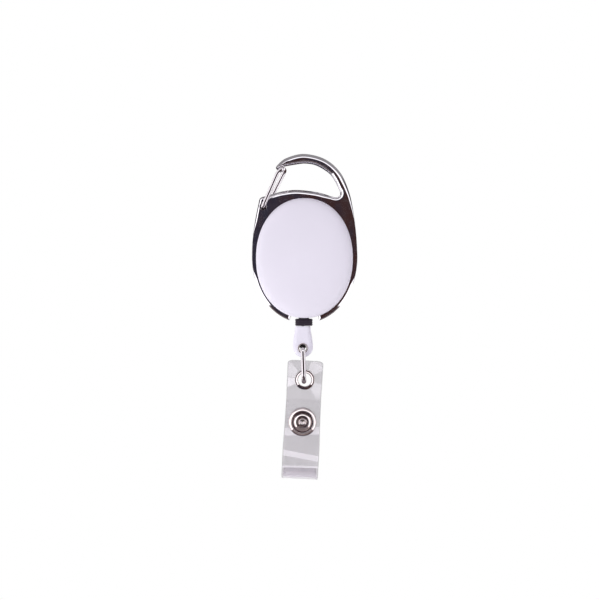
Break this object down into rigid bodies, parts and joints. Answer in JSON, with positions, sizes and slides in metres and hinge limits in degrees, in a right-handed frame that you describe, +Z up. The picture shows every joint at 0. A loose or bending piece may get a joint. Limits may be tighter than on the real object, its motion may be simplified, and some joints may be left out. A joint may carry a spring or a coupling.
{
  "type": "retractable badge reel",
  "caption": "Oval retractable badge reel held in a chromed carabiner frame with a wire gate, its cord ending in a swivel fitting, a wire link and a clear snap strap.",
  "frame": {"origin": "highest point of the hook's inner edge, where the reel hangs on a belt loop", "axes": "+Z up; -Y out of the white front face; +X to the right seen from the front, with the gate on the left"},
  "size_m": [0.0366, 0.0111, 0.1134],
  "materials": {
    "frame_chrome": "bright chrome plate on zinc",
    "bright_wire": "bright plated steel wire",
    "white_plastic": "satin white",
    "fitting_plastic": "smooth white",
    "black_plastic": "satin black",
    "spool_plastic": "natural moulded",
    "spring_steel": "blued strip and ground pin",
    "nylon_cord": "braided black nylon",
    "clear_vinyl": "soft clear sheet with a smoky tint",
    "nickel": "bright nickel plate"
  },
  "bodies": {
    "case": {"carabiner_frame": "frame_chrome", "front_shell": "white_plastic", "back_shell": "white_plastic", "cord_exit_bushing": "black_plastic", "spring_arbor": "spring_steel", "cord_feed": "nylon_cord"},
    "gate": {"wire_gate": "bright_wire"},
    "spool": {"spool_drum": "spool_plastic", "spring_cover": "spool_plastic", "power_spring": "spring_steel", "wound_cord": "nylon_cord"},
    "cord_end": {"cord_end_knot": "nylon_cord", "cord_lead": "nylon_cord"},
    "fitting": {"end_fitting_front": "fitting_plastic", "end_fitting_back": "fitting_plastic", "end_eyelet": "nickel"},
    "link": {"link_ring": "bright_wire"},
    "strap": {"strap_front": "clear_vinyl", "grommet": "nickel", "grommet_washer": "nickel", "snap_cap": "nickel", "snap_socket": "nickel"},
    "flap": {"strap_flap": "clear_vinyl", "snap_stud": "nickel", "snap_post": "nickel"}
  },
  "joints": [
    {"name": "gate_open", "type": "hinge", "parent": "case", "child": "gate", "pos_m": [-0.0136, 0, -0.0147], "axis": [0, 1, 0], "range_deg": [0, 32], "stiffness_Nm_per_rad": 0.01, "springref_deg": -28.65},
    {"name": "cord_pull", "type": "slide", "parent": "case", "child": "cord_end", "axis": [0, 0, -1], "range_m": [0, 0.6], "stiffness_N_per_m": 1, "springref_m": -0.8, "deforming": ["cord_lead"]},
    {"name": "spool_spin", "type": "hinge", "parent": "case", "child": "spool", "pos_m": [0, 0, -0.0329], "axis": [0, 1, 0], "range_deg": [0, 3440], "deforming": ["power_spring"]},
    {"name": "fitting_swivel", "type": "hinge", "parent": "cord_end", "child": "fitting", "pos_m": [-0.00055, 0, -0.0592], "axis": [0, 0, 1], "continuous": true},
    {"name": "link_swing", "type": "hinge", "parent": "fitting", "child": "link", "pos_m": [-0.00055, 0, -0.0643], "axis": [0, 1, 0], "range_deg": [-80, 80]},
    {"name": "strap_swing", "type": "hinge", "parent": "link", "child": "strap", "pos_m": [-0.00016, 0, -0.07559], "axis": [0.9986, 0, -0.0523], "range_deg": [-15, 15]},
    {"name": "strap_flap_open", "type": "hinge", "parent": "strap", "child": "flap", "pos_m": [-0.00152, 0.00573, -0.10601], "axis": [-0.9986, 0, 0.0523], "range_deg": [0, 120]}
  ],
  "couplings": [
    {"joint": "spool_spin", "follows": "cord_pull", "rad_per_m": 100}
  ]
}
